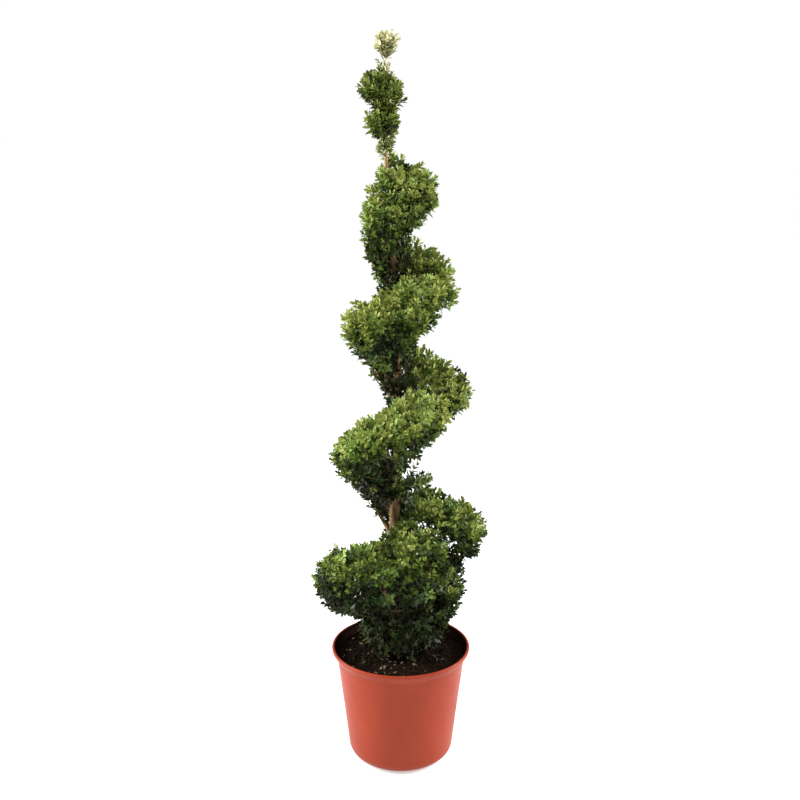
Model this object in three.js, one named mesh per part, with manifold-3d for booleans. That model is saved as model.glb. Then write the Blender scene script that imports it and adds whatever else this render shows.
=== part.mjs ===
// Spiral topiary of clipped box in a round plastic pot.
// Units are millimetres, +Z is up, and the origin is the middle of the pot's flat underside.
// The front of the plant faces -Y. The clipped band of foliage climbs counterclockwise, seen from
// above, round one trunk. It is cut into masses, and each mass sits on a bough of its own.

import * as THREE from 'three';
import { mergeVertices } from 'three/addons/utils/BufferGeometryUtils.js';
import Module from 'manifold-3d';

// ---- Driving dimensions ------------------------------------------------------------------------

const GAP = 0.35; // clearance between pieces that touch

const POT = {
  height: 237,
  rimRadius: 140,
  wallTopRadius: 129,
  footRadius: 103,
  footRounding: 26,
  lipHeight: 18,
  lipRise: 7, // height of the curve from the wall out to the lip
  lipRounding: 4,
  wall: 2.6,
  floor: 4,
  sides: 44,
  curveSteps: 3,
};

const SOIL = {
  depthBelowRim: 14, // how far the soil lies below the rim, at the trunk
  fall: 5, // how much lower it is at the wall than at the trunk
  flatRadius: 34, // level patch that the trunk stands on
  wallGap: 0.95, // space to the pot's faceted wall
  shoulder: 0.35, // part of the fall that is reached halfway out to the wall
};
const SOIL_TOP = POT.height - SOIL.depthBelowRim;

const TRUNK = {
  tipHeight: 1400,
  footRadius: 13.5,
  tipRadius: 2.4,
  taper: 0.9, // below 1 the trunk keeps its girth longer
  flare: 9, // extra radius where the trunk meets the soil
  flareHeight: 26,
  ribs: 4, // shallow ribs that run up from the root flare
  ribDepth: 0.16, // as a part of the radius
  ribHeight: 40,
  sides: 12,
  steps: 30,
  stepGrading: 1.25, // above 1 the steps are closer in the flare
  // The course of the trunk, as its middle at a few heights.
  course: [
    [0, 4, SOIL_TOP],
    [-6, 3, 370],
    [-12, 0, 530],
    [-6, -2, 790],
    [-14, 2, 1020],
    [-28, 0, 1230],
    [-29, -2, 1400],
  ],
};

// The clipped band. Turn 0 is where its middle first crosses the front of the trunk, and turns
// count up from there. It starts low behind the plant and ends below the bare neck of the leader.
const BAND = {
  firstTurn: -0.56,
  lastTurn: 3.56,
  frontHeight: 432, // height of the band's middle at turn 0
  pitch: 282, // climb per turn at turn 0
  pitchLoss: 17.5, // the climb shrinks by twice this with each turn
  coneRadius: 177, // reach of the clipped cone at turn 0, from the pot's axis
  coneTaper: 0.137, // loss of reach per millimetre of height
  crest: 0.25, // height of the band's top over its middle, in pitches
  crestTilt: 0.06, // how much fuller the top is on the left than on the right, in pitches
  lip: 0.2, // depth of its outer underside
  wedge: 0.34, // extra depth at the trunk
  masses: 12,
  seed: 11,
  seam: 0.003, // half the space between neighbouring masses, in turns
  clearance: 5, // space left round the trunk
  fade: 0.35, // stretch at each end where its reach grows or shrinks, in turns
};

const BOUGH = {
  gap: 1, // space left between a bough's tip and its mass
  dropBelowMass: 16, // how far below its mass a bough leaves the trunk
  lowestRoot: 8, // height over the soil of the lowest boughs' roots
  tipOut: 0.6, // how far out towards the clipped surface a bough aims
  girth: 0.45, // its thickness at the root, as a part of the trunk's
  tipGirth: 0.45, // its thickness at the tip, as a part of that at the root
  bendAt: 0.4, // how far along it bends up
  sag: 0.08, // how far the bend hangs, as a part of the climb
  skirtRise: 70, // climb of the boughs in the foot of the cone
  skirtOut: 0.35,
  skirtThickness: 4.5,
};

// Places where the shears went deeper or left more, as parts of the pitch, or of the reach.
const CLIPPING = [
  { turn: -0.25, width: 0.16, crest: 0.01, underside: -0.13, reach: 0.01 },
  { turn: 0.2, width: 0.1, crest: 0.06, underside: 0, reach: 0.03 },
  { turn: 0.41, width: 0.14, crest: -0.26, underside: 0, reach: 0 },
  { turn: 0.72, width: 0.14, crest: -0.06, underside: 0, reach: -0.09 },
  { turn: 1.26, width: 0.2, crest: 0.03, underside: -0.23, reach: 0.03 },
  { turn: 1.75, width: 0.15, crest: 0.02, underside: -0.1, reach: 0.02 },
  { turn: 2.25, width: 0.14, crest: 0.03, underside: 0, reach: 0.1 },
  { turn: 2.68, width: 0.15, crest: -0.02, underside: 0.11, reach: -0.22 },
  { turn: 2.9, width: 0.15, crest: 0.24, underside: 0, reach: 0 },
  { turn: 3.18, width: 0.1, crest: 0.04, underside: 0.05, reach: 0.05 },
  { turn: 3.48, width: 0.18, crest: -0.14, underside: -0.1, reach: -0.08 },
];

// The form of every mass. A squareness of 1 is round, and less is nearer to a box.
const MASS = {
  unevenness: 0.09, // how far its surface strays, as a part of its size
  sides: 14,
  rings: 9,
  outSquareness: 0.5, // across the band
  upSquareness: 0.45, // from its underside to its top
  alongSquareness: 0.8, // spreads the rings along the band
  endFlatness: 8, // higher makes the two ends blunter
  endRounding: 0.3,
};

const SKIRT = {
  masses: 4,
  seed: 41,
  firstTurn: -0.2,
  lastTurn: 0.42,
  seam: 0.008, // half the space between neighbouring masses, in turns
  clearance: 12, // space left round the trunk
  lowRadius: 72,
  highRadius: 138,
  bottom: SOIL_TOP + 12,
  top: 405,
  gap: 6, // space under the band's underside
  bandGap: 2, // least space to any part of the band
  spread: 0.7, // below 1 it widens soonest near its foot
};

// Lumps of foliage left on the leader above the clipped band. A lump with a narrowing above 0 is
// widest near its foot, and one below 0 near its top.
const LEADER_LUMPS = {
  leader_foliage_low: {
    height: 1268,
    halfHeight: 29,
    radius: 34,
    shift: -4,
    narrowing: -0.2,
    seed: 61,
  },
  leader_foliage_high: {
    height: 1335,
    halfHeight: 32,
    radius: 41,
    shift: -9,
    narrowing: 0.14,
    seed: 62,
  },
  top_tuft: {
    height: 1410,
    halfHeight: 20,
    radius: 23,
    shift: 3,
    narrowing: -0.35,
    seed: 63,
  },
};
const LUMP_FULLNESS = 0.35; // 0 is a ball, and more fills its shoulders out
const LUMP_STRAY = 1.4; // its unevenness, as a part of a mass's
const LEADER_CLEARANCE = 1.5;

const COLOURS = {
  terracotta: 0xb8583f,
  soil: 0x1f140d,
  bark: 0x8a7a60,
  leaf: 0x4c6b2a,
  youngLeaf: 0x86a050,
};

// ---- Small helpers -----------------------------------------------------------------------------

const TAU = Math.PI * 2;
const lerp = THREE.MathUtils.lerp;
const clamp01 = (value) => THREE.MathUtils.clamp(value, 0, 1);

// A repeatable stream of numbers from 0 to 1.
function randomStream(seed) {
  let state = seed >>> 0;
  return () => {
    state = (state + 0x6d2b79f5) >>> 0;
    let mixed = Math.imul(state ^ (state >>> 15), state | 1);
    mixed ^= mixed + Math.imul(mixed ^ (mixed >>> 7), mixed | 61);
    return ((mixed ^ (mixed >>> 14)) >>> 0) / 4294967296;
  };
}

// A smooth, seeded roughness over two turning coordinates. Its values lie near -1 to 1.
function roughness(seed) {
  const random = randomStream(seed);
  const waves = [[1, 2], [2, -1], [3, 2], [4, -3]].map(([aroundCount, alongCount]) => ({
    aroundCount,
    alongCount,
    phase: random() * TAU,
    strength: 0.3 + 0.4 * random(),
  }));
  return (around, along) => waves.reduce((sum, wave) => {
    const angle = wave.aroundCount * around + wave.alongCount * along * 2 + wave.phase;
    return sum + wave.strength * Math.sin(angle);
  }, 0) / 1.6;
}

// Pulls a circle's sine or cosine outwards, so that the circle becomes a rounded box.
function boxy(value, squareness) {
  return Math.sign(value) * Math.abs(value) ** squareness;
}

// Moves every vertex of a geometry, and leaves it with merged vertices and positions only.
function reshape(geometry, move) {
  geometry.deleteAttribute('normal');
  geometry.deleteAttribute('uv');
  const shaped = mergeVertices(geometry, 1e-4);
  const position = shaped.getAttribute('position');
  const point = new THREE.Vector3();
  for (let i = 0; i < position.count; i += 1) {
    point.fromBufferAttribute(position, i);
    const moved = move(point.clone());
    position.setXYZ(i, moved.x, moved.y, moved.z);
  }
  return shaped;
}

// ---- Cutting -----------------------------------------------------------------------------------

const wasm = await Module();
wasm.setup();

function toSolid(geometry) {
  const vertProperties = new Float32Array(geometry.getAttribute('position').array);
  const triVerts = new Uint32Array(geometry.getIndex().array);
  return new wasm.Manifold(new wasm.Mesh({ numProp: 3, vertProperties, triVerts }));
}

function toGeometry(solid) {
  const mesh = solid.getMesh();
  const geometry = new THREE.BufferGeometry();
  geometry.setAttribute('position', new THREE.BufferAttribute(mesh.vertProperties, 3));
  geometry.setIndex(new THREE.BufferAttribute(mesh.triVerts, 1));
  return geometry;
}

// Cuts tools away from a piece and keeps the largest body that is left.
function cutAway(geometry, tools) {
  let solid = toSolid(geometry);
  tools.forEach((tool) => {
    solid = solid.subtract(toSolid(tool));
  });
  const bodies = solid.decompose();
  bodies.sort((a, b) => b.volume() - a.volume());
  return toGeometry(bodies[0]);
}

// ---- Pot and soil ------------------------------------------------------------------------------

// Radius of the pot's outer wall at a height, without its lip and its rounded foot.
function potWallRadius(height) {
  return lerp(POT.footRadius, POT.wallTopRadius, height / (POT.height - POT.lipHeight));
}

function pot() {
  const profile = new THREE.Path();
  const flat = POT.footRadius - POT.footRounding;
  const lipBottom = POT.height - POT.lipHeight;
  const innerRim = POT.rimRadius - 2 * POT.lipRounding;
  profile.moveTo(0, 0);
  profile.lineTo(flat, 0);
  profile.quadraticCurveTo(
    POT.footRadius,
    0,
    potWallRadius(POT.footRounding),
    POT.footRounding,
  );
  profile.lineTo(POT.wallTopRadius, lipBottom);
  profile.quadraticCurveTo(POT.rimRadius, lipBottom, POT.rimRadius, lipBottom + POT.lipRise);
  profile.lineTo(POT.rimRadius, POT.height - POT.lipRounding);
  profile.quadraticCurveTo(POT.rimRadius, POT.height, POT.rimRadius - POT.lipRounding, POT.height);
  profile.quadraticCurveTo(innerRim, POT.height, innerRim, POT.height - POT.lipRounding);
  profile.lineTo(POT.wallTopRadius - POT.wall, lipBottom);
  profile.lineTo(potWallRadius(POT.footRounding) - POT.wall, POT.footRounding);
  profile.lineTo(flat, POT.floor);
  profile.lineTo(0, POT.floor);
  return latheUp(profile.getPoints(POT.curveSteps), POT.sides);
}

function soil() {
  const bottom = POT.floor + GAP;
  const edgeTop = SOIL_TOP - SOIL.fall;
  const inset = POT.wall + SOIL.wallGap;
  const corner = POT.footRadius - POT.footRounding - POT.wall;
  const profile = [
    new THREE.Vector2(0, bottom),
    new THREE.Vector2(corner, bottom),
    new THREE.Vector2(potWallRadius(POT.footRounding) - inset, POT.footRounding + GAP),
    new THREE.Vector2(potWallRadius(edgeTop) - inset, edgeTop),
    new THREE.Vector2(
      lerp(SOIL.flatRadius, POT.wallTopRadius, 0.5),
      SOIL_TOP - SOIL.fall * SOIL.shoulder,
    ),
    new THREE.Vector2(SOIL.flatRadius, SOIL_TOP),
    new THREE.Vector2(0, SOIL_TOP),
  ];
  return latheUp(profile, POT.sides);
}

// Turns a profile of (radius, height) points round the vertical axis.
function latheUp(profile, sides) {
  return reshape(new THREE.LatheGeometry(profile, sides), ({ x, y, z }) => (
    new THREE.Vector3(x, -z, y)
  ));
}

// ---- Trunk and boughs --------------------------------------------------------------------------

const trunkCourse = new THREE.CatmullRomCurve3(
  TRUNK.course.map((point) => new THREE.Vector3(...point)),
  false,
  'centripetal',
);
const TRUNK_FOOT = SOIL_TOP + GAP;

// Middle of the trunk at a height. The course climbs all the way, so halving finds the place.
function trunkMiddle(height) {
  let low = 0;
  let high = 1;
  for (let i = 0; i < 24; i += 1) {
    const middle = (low + high) / 2;
    if (trunkCourse.getPoint(middle).z < height) {
      low = middle;
    } else {
      high = middle;
    }
  }
  const point = trunkCourse.getPoint(low);
  return new THREE.Vector3(point.x, point.y, height);
}

function trunkRadius(height) {
  const part = clamp01((height - TRUNK_FOOT) / (TRUNK.tipHeight - TRUNK_FOOT));
  const tapered = lerp(TRUNK.footRadius, TRUNK.tipRadius, part ** TRUNK.taper);
  return tapered + TRUNK.flare * Math.exp(-Math.max(height - TRUNK_FOOT, 0) / TRUNK.flareHeight);
}

// The trunk, or with extra radius the tool that clears a piece off it.
function trunk(extraRadius = 0) {
  const length = TRUNK.tipHeight - TRUNK_FOOT;
  const column = new THREE.CylinderGeometry(1, 1, 1, TRUNK.sides, TRUNK.steps);
  return reshape(column, ({ x, y, z }) => {
    const part = (y + 0.5) ** TRUNK.stepGrading;
    const height = TRUNK_FOOT + part * length;
    const middle = trunkMiddle(height);
    const fading = Math.exp(-(height - TRUNK_FOOT) / TRUNK.ribHeight);
    const rib = 1 + TRUNK.ribDepth * fading * Math.cos(TRUNK.ribs * Math.atan2(z, x));
    const reach = (trunkRadius(height) + extraRadius) * rib;
    return new THREE.Vector3(middle.x + x * reach, middle.y - z * reach, height);
  });
}

// One tapering limb along a curve.
function limb(curve, baseRadius, tipRadius, sides = 7, steps = 6) {
  const up = new THREE.Vector3(0, 0, 1);
  return reshape(new THREE.CylinderGeometry(1, 1, 1, sides, steps), ({ x, y, z }) => {
    const part = y + 0.5;
    const along = curve.getTangent(part).normalize();
    const across = new THREE.Vector3().crossVectors(along, up).normalize();
    const over = new THREE.Vector3().crossVectors(across, along);
    const radius = lerp(baseRadius, tipRadius, part);
    return curve.getPoint(part)
      .addScaledVector(across, x * radius)
      .addScaledVector(over, z * radius);
  });
}

// ---- The clipped band --------------------------------------------------------------------------

function bandHeight(turn) {
  return BAND.frontHeight + turn * (BAND.pitch - BAND.pitchLoss * turn);
}

function bandPitch(turn) {
  return BAND.pitch - 2 * BAND.pitchLoss * turn;
}

// How much the clipping adds to one measure of the band at a turn.
function clipped(measure, turn) {
  return CLIPPING.reduce((sum, place) => {
    const away = (turn - place.turn) / place.width;
    return sum + place[measure] * Math.exp(-away * away);
  }, 0);
}

// Reach of the clipped cone from the pot's axis. The band fades in and out at its two ends.
function bandReach(turn) {
  const cone = BAND.coneRadius - BAND.coneTaper * (bandHeight(turn) - BAND.frontHeight);
  const fadeIn = clamp01((turn - BAND.firstTurn) / BAND.fade);
  const fadeOut = clamp01((BAND.lastTurn - turn) / BAND.fade);
  return cone * (lerp(0.74, 1, Math.min(fadeIn, fadeOut)) + clipped('reach', turn));
}

// Direction from the trunk at a turn: the front is -Y.
function bandDirection(turn) {
  const angle = TAU * turn - Math.PI / 2;
  return new THREE.Vector3(Math.cos(angle), Math.sin(angle), 0);
}

// Heights of the band's top and underside, at a part of the way out from the trunk.
function bandTop(turn, out) {
  const tilt = BAND.crestTilt * Math.sin(TAU * (turn - 0.1));
  const crest = BAND.crest + clipped('crest', turn) - tilt;
  return bandHeight(turn) + crest * bandPitch(turn) * Math.sqrt(1 - out ** 6);
}

function bandBottom(turn, out) {
  const lip = (BAND.lip + clipped('underside', turn)) * Math.sqrt(1 - out ** 5);
  const bottom = bandHeight(turn) - bandPitch(turn) * (BAND.wedge * (1 - out) + lip);
  return Math.max(bottom, SKIRT.bottom + 30 * out);
}

// A clipped, uneven mass beside the trunk, between two turn values.
// A sphere's poles become the mass's two ends, and its circles of latitude the cross-sections.
// A mass that is grown by a few tenths of a millimetre is the tool that clears its neighbours.
function clippedMass({ fromTurn, toTurn, seed, clearance, topAt, bottomAt, reachAt, grow = 0 }) {
  const rough = roughness(seed);
  const middleTurn = (fromTurn + toTurn) / 2;
  const halfSpan = (toTurn - fromTurn) / 2 + grow / (TAU * BAND.coneRadius);
  return reshape(new THREE.SphereGeometry(1, MASS.sides, MASS.rings), ({ x, y, z }) => {
    const turn = middleTurn + halfSpan * boxy(y, MASS.alongSquareness);
    const around = Math.atan2(z, x);
    const size = Math.max(1 - Math.abs(y) ** MASS.endFlatness, 0) ** MASS.endRounding;
    const out = 0.5 + 0.5 * size * boxy(Math.cos(around), MASS.outSquareness);
    const side = boxy(Math.sin(around), MASS.upSquareness);
    const core = (topAt(turn, 0.5) + bottomAt(turn, 0.5)) / 2;
    const surface = side > 0 ? topAt(turn, out) + grow : bottomAt(turn, out) - grow;
    const bulge = 1 + MASS.unevenness * rough(around, turn) * out;
    const height = lerp(core, surface, Math.abs(side) * size * bulge);
    const direction = bandDirection(turn);
    const inner = trunkMiddle(height)
      .addScaledVector(direction, trunkRadius(height) + clearance - grow);
    const outer = new THREE.Vector3(0, 0, height)
      .addScaledVector(direction, reachAt(turn, height) * bulge + grow);
    return inner.lerp(outer, out);
  });
}

function bandMass(index, grow = 0) {
  const span = (BAND.lastTurn - BAND.firstTurn) / BAND.masses;
  const fromTurn = BAND.firstTurn + span * index;
  return clippedMass({
    fromTurn: fromTurn + BAND.seam,
    toTurn: fromTurn + span - BAND.seam,
    seed: BAND.seed + index,
    grow,
    clearance: BAND.clearance,
    topAt: bandTop,
    bottomAt: bandBottom,
    reachAt: bandReach,
  });
}

// The unclipped foot of the cone, under the first turn of the band.
function skirtTop(turn, out) {
  return Math.min(bandBottom(turn, out) - SKIRT.gap, SKIRT.top);
}

function skirtReach(turn, height) {
  const part = clamp01((height - SKIRT.bottom) / (SKIRT.top - SKIRT.bottom));
  return lerp(SKIRT.lowRadius, SKIRT.highRadius, part ** SKIRT.spread);
}

function skirtMass(index, grow = 0) {
  const span = (SKIRT.lastTurn - SKIRT.firstTurn) / SKIRT.masses;
  const fromTurn = SKIRT.firstTurn + span * index;
  const mass = clippedMass({
    fromTurn: fromTurn + SKIRT.seam,
    toTurn: fromTurn + span - SKIRT.seam,
    seed: SKIRT.seed + index,
    grow,
    clearance: SKIRT.clearance,
    topAt: skirtTop,
    bottomAt: () => SKIRT.bottom,
    reachAt: skirtReach,
  });
  return cutAway(mass, [0, 1, 2].map((bandIndex) => bandMass(bandIndex, SKIRT.bandGap)));
}

// A lump of foliage all round the leader, cut clear of it.
function leaderLump({ height, halfHeight, radius, shift, narrowing, seed }) {
  const rough = roughness(seed);
  const middle = trunkMiddle(Math.min(height, TRUNK.tipHeight));
  const lump = reshape(new THREE.SphereGeometry(1, MASS.sides, MASS.rings), ({ x, y, z }) => {
    const stray = 1 + LUMP_STRAY * MASS.unevenness * rough(Math.atan2(z, x), y * 2);
    const ring = Math.max(Math.hypot(x, z), 1e-6);
    const wide = radius * stray * (1 - narrowing * y) * ring ** -LUMP_FULLNESS;
    return new THREE.Vector3(
      middle.x + shift + x * wide,
      middle.y - z * wide,
      height + y * halfHeight,
    );
  });
  return cutAway(lump, [trunk(LEADER_CLEARANCE)]);
}

// A bough from the trunk up into a mass. It ends where it enters the mass and its grown copy.
function bough({ turn, rootHeight, tipHeight, tipOut, thickness, masses }) {
  const root = trunkMiddle(rootHeight);
  const direction = bandDirection(turn);
  const tipReach = bandReach(turn) * tipOut;
  const tip = trunkMiddle(tipHeight).addScaledVector(direction, tipReach);
  const bend = root.clone().lerp(tip, BOUGH.bendAt);
  bend.z -= (tipHeight - rootHeight) * BOUGH.sag;
  const curve = new THREE.QuadraticBezierCurve3(root, bend, tip);
  const tapering = limb(curve, thickness, thickness * BOUGH.tipGirth);
  return cutAway(tapering, [trunk(GAP), ...masses]);
}

// ---- Assembly ----------------------------------------------------------------------------------

const materials = {
  terracotta: new THREE.MeshStandardMaterial({ color: COLOURS.terracotta, roughness: 0.5 }),
  soil: new THREE.MeshStandardMaterial({ color: COLOURS.soil, roughness: 0.95 }),
  bark: new THREE.MeshStandardMaterial({ color: COLOURS.bark, roughness: 0.85 }),
  leaf: new THREE.MeshStandardMaterial({ color: COLOURS.leaf, roughness: 0.6 }),
  youngLeaf: new THREE.MeshStandardMaterial({ color: COLOURS.youngLeaf, roughness: 0.55 }),
};

const topiary = new THREE.Group();

function add(name, geometry, material) {
  const mesh = new THREE.Mesh(geometry, material.clone());
  mesh.name = name;
  topiary.add(mesh);
}

const numbered = (name, index) => `${name}_${String(index + 1).padStart(2, '0')}`;

function addBand() {
  const span = (BAND.lastTurn - BAND.firstTurn) / BAND.masses;
  for (let i = 0; i < BAND.masses; i += 1) {
    add(numbered('band_foliage', i), bandMass(i), materials.leaf);
    const turn = BAND.firstTurn + span * (i + 0.5);
    const dropped = bandBottom(turn, 0) - BOUGH.dropBelowMass;
    const rootHeight = Math.max(dropped, TRUNK_FOOT + BOUGH.lowestRoot);
    const bandBough = bough({
      turn,
      rootHeight,
      tipHeight: bandHeight(turn),
      tipOut: BOUGH.tipOut,
      thickness: trunkRadius(rootHeight) * BOUGH.girth,
      masses: [bandMass(i), bandMass(i, BOUGH.gap)],
    });
    add(numbered('band_bough', i), bandBough, materials.bark);
  }
}

function addSkirt() {
  const span = (SKIRT.lastTurn - SKIRT.firstTurn) / SKIRT.masses;
  for (let i = 0; i < SKIRT.masses; i += 1) {
    add(numbered('skirt_foliage', i), skirtMass(i), materials.leaf);
    const skirtBough = bough({
      turn: SKIRT.firstTurn + span * (i + 0.5),
      rootHeight: TRUNK_FOOT + BOUGH.lowestRoot,
      tipHeight: SKIRT.bottom + BOUGH.skirtRise,
      tipOut: BOUGH.skirtOut,
      thickness: BOUGH.skirtThickness,
      masses: [skirtMass(i), skirtMass(i, BOUGH.gap)],
    });
    add(numbered('skirt_bough', i), skirtBough, materials.bark);
  }
}

add('pot', pot(), materials.terracotta);
add('soil', soil(), materials.soil);
add('trunk', trunk(), materials.bark);
addSkirt();
addBand();
Object.entries(LEADER_LUMPS).forEach(([name, lump]) => {
  add(name, leaderLump(lump), materials.youngLeaf);
});

export default topiary;
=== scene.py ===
"""Spiral topiary in its pot: the looks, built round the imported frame.

Units are metres, +Z is up, and the front of the plant faces -Y. Each foliage solid of the frame is
replaced by limbs, branches and leafy shoots, which a seeded rule grows from the trunk and the boughs
up and out to the solid's surface. The shears cut the shoots there, so the solid's outline is kept.
"""

import math

import bpy
import numpy as np
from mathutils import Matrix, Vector
from mathutils.bvhtree import BVHTree
from mathutils.kdtree import KDTree


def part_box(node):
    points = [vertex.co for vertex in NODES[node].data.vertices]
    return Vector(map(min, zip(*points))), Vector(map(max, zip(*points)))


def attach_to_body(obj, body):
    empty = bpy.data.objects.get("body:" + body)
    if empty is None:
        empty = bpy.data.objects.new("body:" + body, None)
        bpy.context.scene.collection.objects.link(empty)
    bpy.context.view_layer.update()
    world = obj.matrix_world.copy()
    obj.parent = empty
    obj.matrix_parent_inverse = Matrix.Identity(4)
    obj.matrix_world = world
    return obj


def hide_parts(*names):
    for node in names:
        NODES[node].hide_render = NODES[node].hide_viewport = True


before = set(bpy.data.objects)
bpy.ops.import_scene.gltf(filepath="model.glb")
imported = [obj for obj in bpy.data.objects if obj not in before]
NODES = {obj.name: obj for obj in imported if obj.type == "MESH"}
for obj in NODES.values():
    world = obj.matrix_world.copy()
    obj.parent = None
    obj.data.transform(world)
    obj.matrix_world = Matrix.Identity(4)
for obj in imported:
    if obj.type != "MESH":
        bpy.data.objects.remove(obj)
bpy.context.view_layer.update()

# ---- Driving sizes -----------------------------------------------------------------------------

SEED = 20
UP = np.array([0.0, 0.0, 1.0])

SHOOT_AREA = 0.000145  # clipped surface that one shoot serves
SHOOT_LENGTH = (0.030, 0.056)
SHOOT_POINTS = 5
TWIG_SIDES = 3
TWIG_RADIUS = 0.0009
LEAF_LENGTH = 0.0144
LEAF_WIDTH = 0.51  # as a part of the length
LEAF_SPACING = 0.0052  # between the pairs of leaves on a shoot
BARE_PART = 0.22  # part of a shoot, at its foot, that has no leaves

LIMBS_PER_MASS = 11
BRANCHES_PER_MASS = 58
YOUNG_LIMBS = 4  # for each of the small masses on the leader
YOUNG_BRANCHES = 18
TRIANGLES_PER_PIECE = 190_000

LEAF_ROUGHNESS = 0.42
LEAF_SPECULAR = 0.16
SMALL_LEAF = 0.74  # size of the leaves straight on the leader, as a part of the others'

# Leaf tints, from the shaded inside to the young tips, as linear base colours. They carry painted
# light and shade: the darker tints are painted shade on the inside, the undersides and the gaps,
# the paler ones painted light on lit tops and outer faces, and the palest also young growth.
TINTS = {
    "shade": (0.019, 0.021, 0.008),
    "dark": (0.031, 0.040, 0.011),
    "bluish": (0.044, 0.074, 0.023),
    "mid": (0.079, 0.112, 0.020),
    "bright": (0.162, 0.215, 0.038),
    "fresh_and_lit": (0.315, 0.362, 0.082),
    "pale": (0.680, 0.660, 0.400),
}
COOL_SHIFT = (0.86, 1.01, 1.02)  # the cooler patches of the crown, against the tints above
TINT_NAMES = list(TINTS)
SHADE, DARK, _, _, BRIGHT, FRESH_AND_LIT, PALE = range(len(TINTS))


# ---- Arrays and meshes -------------------------------------------------------------------------


def unit(vectors):
    """Vectors scaled to length 1, along their last axis."""
    length = np.linalg.norm(vectors, axis=-1, keepdims=True)
    return vectors / np.maximum(length, 1e-9)


def mesh_object(name, vertices, faces, material, smooth=True):
    """A mesh object from vertices (N, 3) and faces that all have the same number of corners."""
    mesh = bpy.data.meshes.new(name)
    corners = faces.shape[1]
    mesh.vertices.add(len(vertices))
    mesh.vertices.foreach_set("co", np.asarray(vertices, np.float32).ravel())
    mesh.loops.add(faces.size)
    mesh.loops.foreach_set("vertex_index", np.asarray(faces, np.int32).ravel())
    mesh.polygons.add(len(faces))
    mesh.polygons.foreach_set("loop_start", np.arange(0, faces.size, corners, dtype=np.int32))
    mesh.polygons.foreach_set("use_smooth", np.full(len(faces), smooth))
    mesh.update(calc_edges=True)
    mesh.validate()
    mesh.materials.append(material)
    obj = bpy.data.objects.new(name, mesh)
    bpy.context.scene.collection.objects.link(obj)
    return obj


def piece(obj, replaced=()):
    """Sets an object to ride on the one body, and hides the CAD nodes that it replaces."""
    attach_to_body(obj, "root")
    if replaced:
        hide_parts(*replaced)
    return obj


def node_arrays(name):
    """Vertices and triangles of a CAD node."""
    mesh = NODES[name].data
    mesh.calc_loop_triangles()
    vertices = np.empty(len(mesh.vertices) * 3, np.float32)
    mesh.vertices.foreach_get("co", vertices)
    triangles = np.empty(len(mesh.loop_triangles) * 3, np.int32)
    mesh.loop_triangles.foreach_get("vertices", triangles)
    return vertices.reshape(-1, 3).astype(float), triangles.reshape(-1, 3)


def level_directions(turn):
    """Level unit vectors at some angles seen from above."""
    return np.stack([np.cos(turn), np.sin(turn), np.zeros(len(turn))], -1)


def search_tree(points):
    """A search tree over points."""
    tree = KDTree(len(points))
    for i, point in enumerate(points):
        tree.insert(point, i)
    tree.balance()
    return tree


def waves(points, seed, size, count=4):
    """Smooth seeded roughness from -1 to 1 at points, with lumps of about the given size."""
    rng = np.random.default_rng(seed)
    total = np.zeros(len(points))
    for _ in range(count):
        direction = unit(rng.normal(size=3)) * math.tau / (size * rng.uniform(0.7, 1.5))
        total += np.sin(points @ direction + rng.uniform(0, math.tau))
    return total / count


def tubes(paths, radii, sides):
    """Vertices and quads of tapering tubes along paths (N, K, 3) with radii (N, K)."""
    count, points = paths.shape[:2]
    tangents = unit(np.gradient(paths, axis=1))
    lean = unit(paths[:, -1] - paths[:, 0])
    reference = np.where(np.abs(lean[:, 2:3]) > 0.9, [[1.0, 0.0, 0.0]], [[0.0, 0.0, 1.0]])
    across = unit(np.cross(tangents, reference[:, None, :]))
    over = np.cross(across, tangents)
    turn = np.arange(sides) * math.tau / sides
    ring = (across[:, :, None] * np.cos(turn)[:, None] + over[:, :, None] * np.sin(turn)[:, None])
    vertices = paths[:, :, None] + ring * radii[:, :, None, None]
    index = np.arange(count * points * sides).reshape(count, points, sides)
    near, far = index[:, :-1], index[:, 1:]
    quads = np.stack([near, far, np.roll(far, -1, 2), np.roll(near, -1, 2)], -1)
    return vertices.reshape(-1, 3), quads.reshape(-1, 4)


def ring_quads(index):
    """Quads between rows of vertices, each of which runs round in a ring."""
    near, far = index[:-1], index[1:]
    return np.stack([near, np.roll(near, -1, 1), np.roll(far, -1, 1), far], -1).reshape(-1, 4)


def closed_ends(vertices, quads, first, last):
    """Closes the two open ends of a tube with fans round a middle point, as thin quads."""
    middles = [vertices[first].mean(0), vertices[last].mean(0)]
    count = len(vertices)
    fans = []
    for offset, rim in enumerate((first, last)):
        middle = np.full(len(rim) // 2, count + offset)
        fans.append(np.stack([middle, rim[0::2], rim[1::2], np.roll(rim, -2)[0::2]], -1))
    return np.vstack([vertices, middles]), np.vstack([quads, *fans])


def bezier(start, bend, end, points):
    """Points on quadratic curves, from arrays (N, 3) of their starts, bends and ends."""
    t = np.linspace(0, 1, points)[None, :, None]
    start, bend, end = (part[:, None] for part in (start, bend, end))
    return start * (1 - t) ** 2 + bend * 2 * t * (1 - t) + end * t**2


def spread_out(points, count, rng):
    """Picks points that lie far apart from each other."""
    chosen = [int(rng.integers(len(points)))]
    nearest = np.linalg.norm(points - points[chosen[0]], axis=1)
    while len(chosen) < min(count, len(points)):
        chosen.append(int(np.argmax(nearest)))
        nearest = np.minimum(nearest, np.linalg.norm(points - points[chosen[-1]], axis=1))
    return points[chosen]


# ---- The stem: trunk and boughs with the bark's relief -----------------------------------------

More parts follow.
